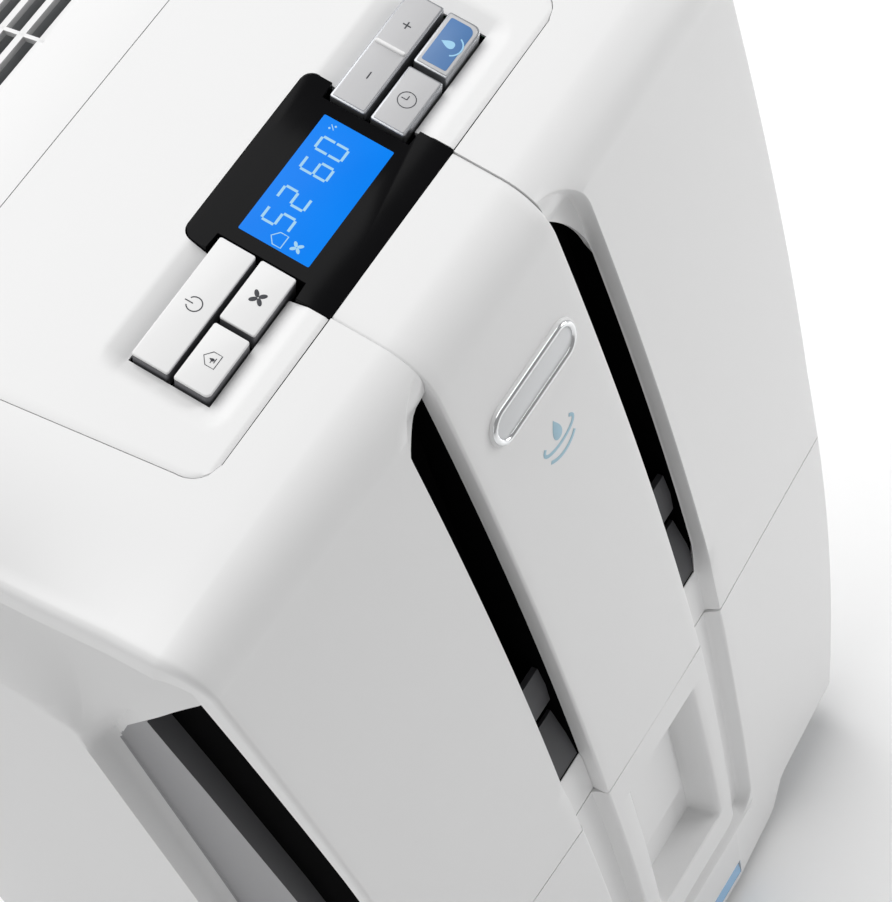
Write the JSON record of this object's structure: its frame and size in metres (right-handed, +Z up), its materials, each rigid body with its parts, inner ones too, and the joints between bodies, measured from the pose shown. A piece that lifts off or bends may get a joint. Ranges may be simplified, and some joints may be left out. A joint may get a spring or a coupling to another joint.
{
  "type": "dehumidifier",
  "caption": "Portable room dehumidifier with a sloping key panel, lit display, pull-out water tank, slide-out filter, blower, compressor, condensate pump and casters.",
  "frame": {"origin": "floor level under the middle of the bounding box", "axes": "+X to the right seen from the front, +Y to the rear, +Z up"},
  "size_m": [0.392, 0.311, 0.6301],
  "materials": {
    "white_shell": "satin",
    "grey_plastic": "matte",
    "dark_plastic": "matte",
    "black_glass": "glossy",
    "lcd": "lit display",
    "clear_blue": "translucent",
    "chrome": "polished",
    "steel": "satin",
    "black_paint": "satin",
    "copper": "bright",
    "aluminium": "fins",
    "board": "matte",
    "rubber": "matte",
    "foam": "matte"
  },
  "bodies": {
    "housing": {"front_cover": "white_shell", "centre_band": "white_shell", "rear_top_cover": "white_shell", "outlet_grille": "white_shell", "left_side_panel": "white_shell", "right_side_panel": "white_shell", "rear_cover": "white_shell", "control_panel": "white_shell", "base_pan": "grey_plastic", "mid_shelf": "grey_plastic", "drip_tray": "grey_plastic", "blower_housing": "grey_plastic", "control_box": "grey_plastic", "drain_outlet": "grey_plastic", "cord_inlet": "dark_plastic", "pump_outlet": "dark_plastic", "condensate_pump": "dark_plastic", "humidity_sensor": "dark_plastic", "tank_switch": "dark_plastic", "display_glass": "black_glass", "lcd_module": "lcd", "pump_hose": "clear_blue", "badge": "chrome", "fan_motor": "steel", "compressor_base": "steel", "compressor": "black_paint", "discharge_pipe": "copper", "suction_pipe": "copper", "filter_drier": "copper", "evaporator": "aluminium", "condenser": "aluminium", "run_capacitor": "aluminium", "control_board": "board"},
    "power_key": {"power_button": "white_shell"},
    "fan_key": {"fan_button": "white_shell"},
    "room_key": {"room_button": "white_shell"},
    "timer_key": {"timer_button": "white_shell"},
    "pump_key": {"pump_button": "white_shell"},
    "rocker_key": {"level_rocker": "white_shell"},
    "tank": {"tank_front": "white_shell", "tank_grip": "white_shell", "tank_body": "grey_plastic", "tank_lid": "grey_plastic", "level_window": "clear_blue"},
    "float": {"tank_float": "foam"},
    "filter": {"filter_frame": "dark_plastic", "filter_mesh": "dark_plastic"},
    "blower": {"blower_wheel": "dark_plastic", "motor_shaft": "steel"},
    "drain_plug": {"drain_cap": "rubber"},
    "caster_front_left": {"caster_front_left": "dark_plastic"},
    "wheel_front_left": {"caster_front_left_wheel": "rubber"},
    "caster_front_right": {"caster_front_right": "dark_plastic"},
    "wheel_front_right": {"caster_front_right_wheel": "rubber"},
    "caster_rear_left": {"caster_rear_left": "dark_plastic"},
    "wheel_rear_left": {"caster_rear_left_wheel": "rubber"},
    "caster_rear_right": {"caster_rear_right": "dark_plastic"},
    "wheel_rear_right": {"caster_rear_right_wheel": "rubber"}
  },
  "joints": [
    {"name": "power_press", "type": "slide", "parent": "housing", "child": "power_key", "axis": [0, 0.319, -0.9478], "range_m": [0, 0.0012], "stiffness_N_per_m": 900},
    {"name": "fan_press", "type": "slide", "parent": "housing", "child": "fan_key", "axis": [0, 0.319, -0.9478], "range_m": [0, 0.0012], "stiffness_N_per_m": 900},
    {"name": "room_press", "type": "slide", "parent": "housing", "child": "room_key", "axis": [0, 0.319, -0.9478], "range_m": [0, 0.0012], "stiffness_N_per_m": 900},
    {"name": "timer_press", "type": "slide", "parent": "housing", "child": "timer_key", "axis": [0, 0.319, -0.9478], "range_m": [0, 0.0012], "stiffness_N_per_m": 900},
    {"name": "pump_press", "type": "slide", "parent": "housing", "child": "pump_key", "axis": [0, 0.319, -0.9478], "range_m": [0, 0.0012], "stiffness_N_per_m": 900},
    {"name": "rocker_tilt", "type": "hinge", "parent": "housing", "child": "rocker_key", "pos_m": [0.0674, -0.0562, 0.58425], "axis": [0, 0.9478, 0.319], "range_deg": [-1.5, 1.5], "stiffness_Nm_per_rad": 1.2},
    {"name": "tank_slide", "type": "slide", "parent": "housing", "child": "tank", "axis": [0, -1, 0], "range_m": [0, 0.2]},
    {"name": "float_lift", "type": "hinge", "parent": "tank", "child": "float", "pos_m": [-0.118, -0.012, 0.192], "axis": [-1, 0, 0], "range_deg": [0, 15]},
    {"name": "filter_slide", "type": "slide", "parent": "housing", "child": "filter", "axis": [1, 0, 0], "range_m": [0, 0.36]},
    {"name": "blower_spin", "type": "hinge", "parent": "housing", "child": "blower", "pos_m": [0, 0.03, 0.4], "axis": [0, 1, 0], "continuous": true},
    {"name": "drain_plug_pull", "type": "slide", "parent": "housing", "child": "drain_plug", "axis": [0, 1, 0], "range_m": [0, 0.03]},
    {"name": "front_left_swivel", "type": "hinge", "parent": "housing", "child": "caster_front_left", "pos_m": [-0.138, -0.072, 0.024], "axis": [0, 0, 1], "continuous": true},
    {"name": "front_left_roll", "type": "hinge", "parent": "caster_front_left", "child": "wheel_front_left", "pos_m": [-0.138, -0.065, 0.0105], "axis": [1, 0, 0], "continuous": true},
    {"name": "front_right_swivel", "type": "hinge", "parent": "housing", "child": "caster_front_right", "pos_m": [0.138, -0.072, 0.024], "axis": [0, 0, 1], "continuous": true},
    {"name": "front_right_roll", "type": "hinge", "parent": "caster_front_right", "child": "wheel_front_right", "pos_m": [0.138, -0.065, 0.0105], "axis": [1, 0, 0], "continuous": true},
    {"name": "rear_left_swivel", "type": "hinge", "parent": "housing", "child": "caster_rear_left", "pos_m": [-0.138, 0.118, 0.024], "axis": [0, 0, 1], "continuous": true},
    {"name": "rear_left_roll", "type": "hinge", "parent": "caster_rear_left", "child": "wheel_rear_left", "pos_m": [-0.138, 0.125, 0.0105], "axis": [1, 0, 0], "continuous": true},
    {"name": "rear_right_swivel", "type": "hinge", "parent": "housing", "child": "caster_rear_right", "pos_m": [0.138, 0.118, 0.024], "axis": [0, 0, 1], "continuous": true},
    {"name": "rear_right_roll", "type": "hinge", "parent": "caster_rear_right", "child": "wheel_rear_right", "pos_m": [0.138, 0.125, 0.0105], "axis": [1, 0, 0], "continuous": true}
  ]
}
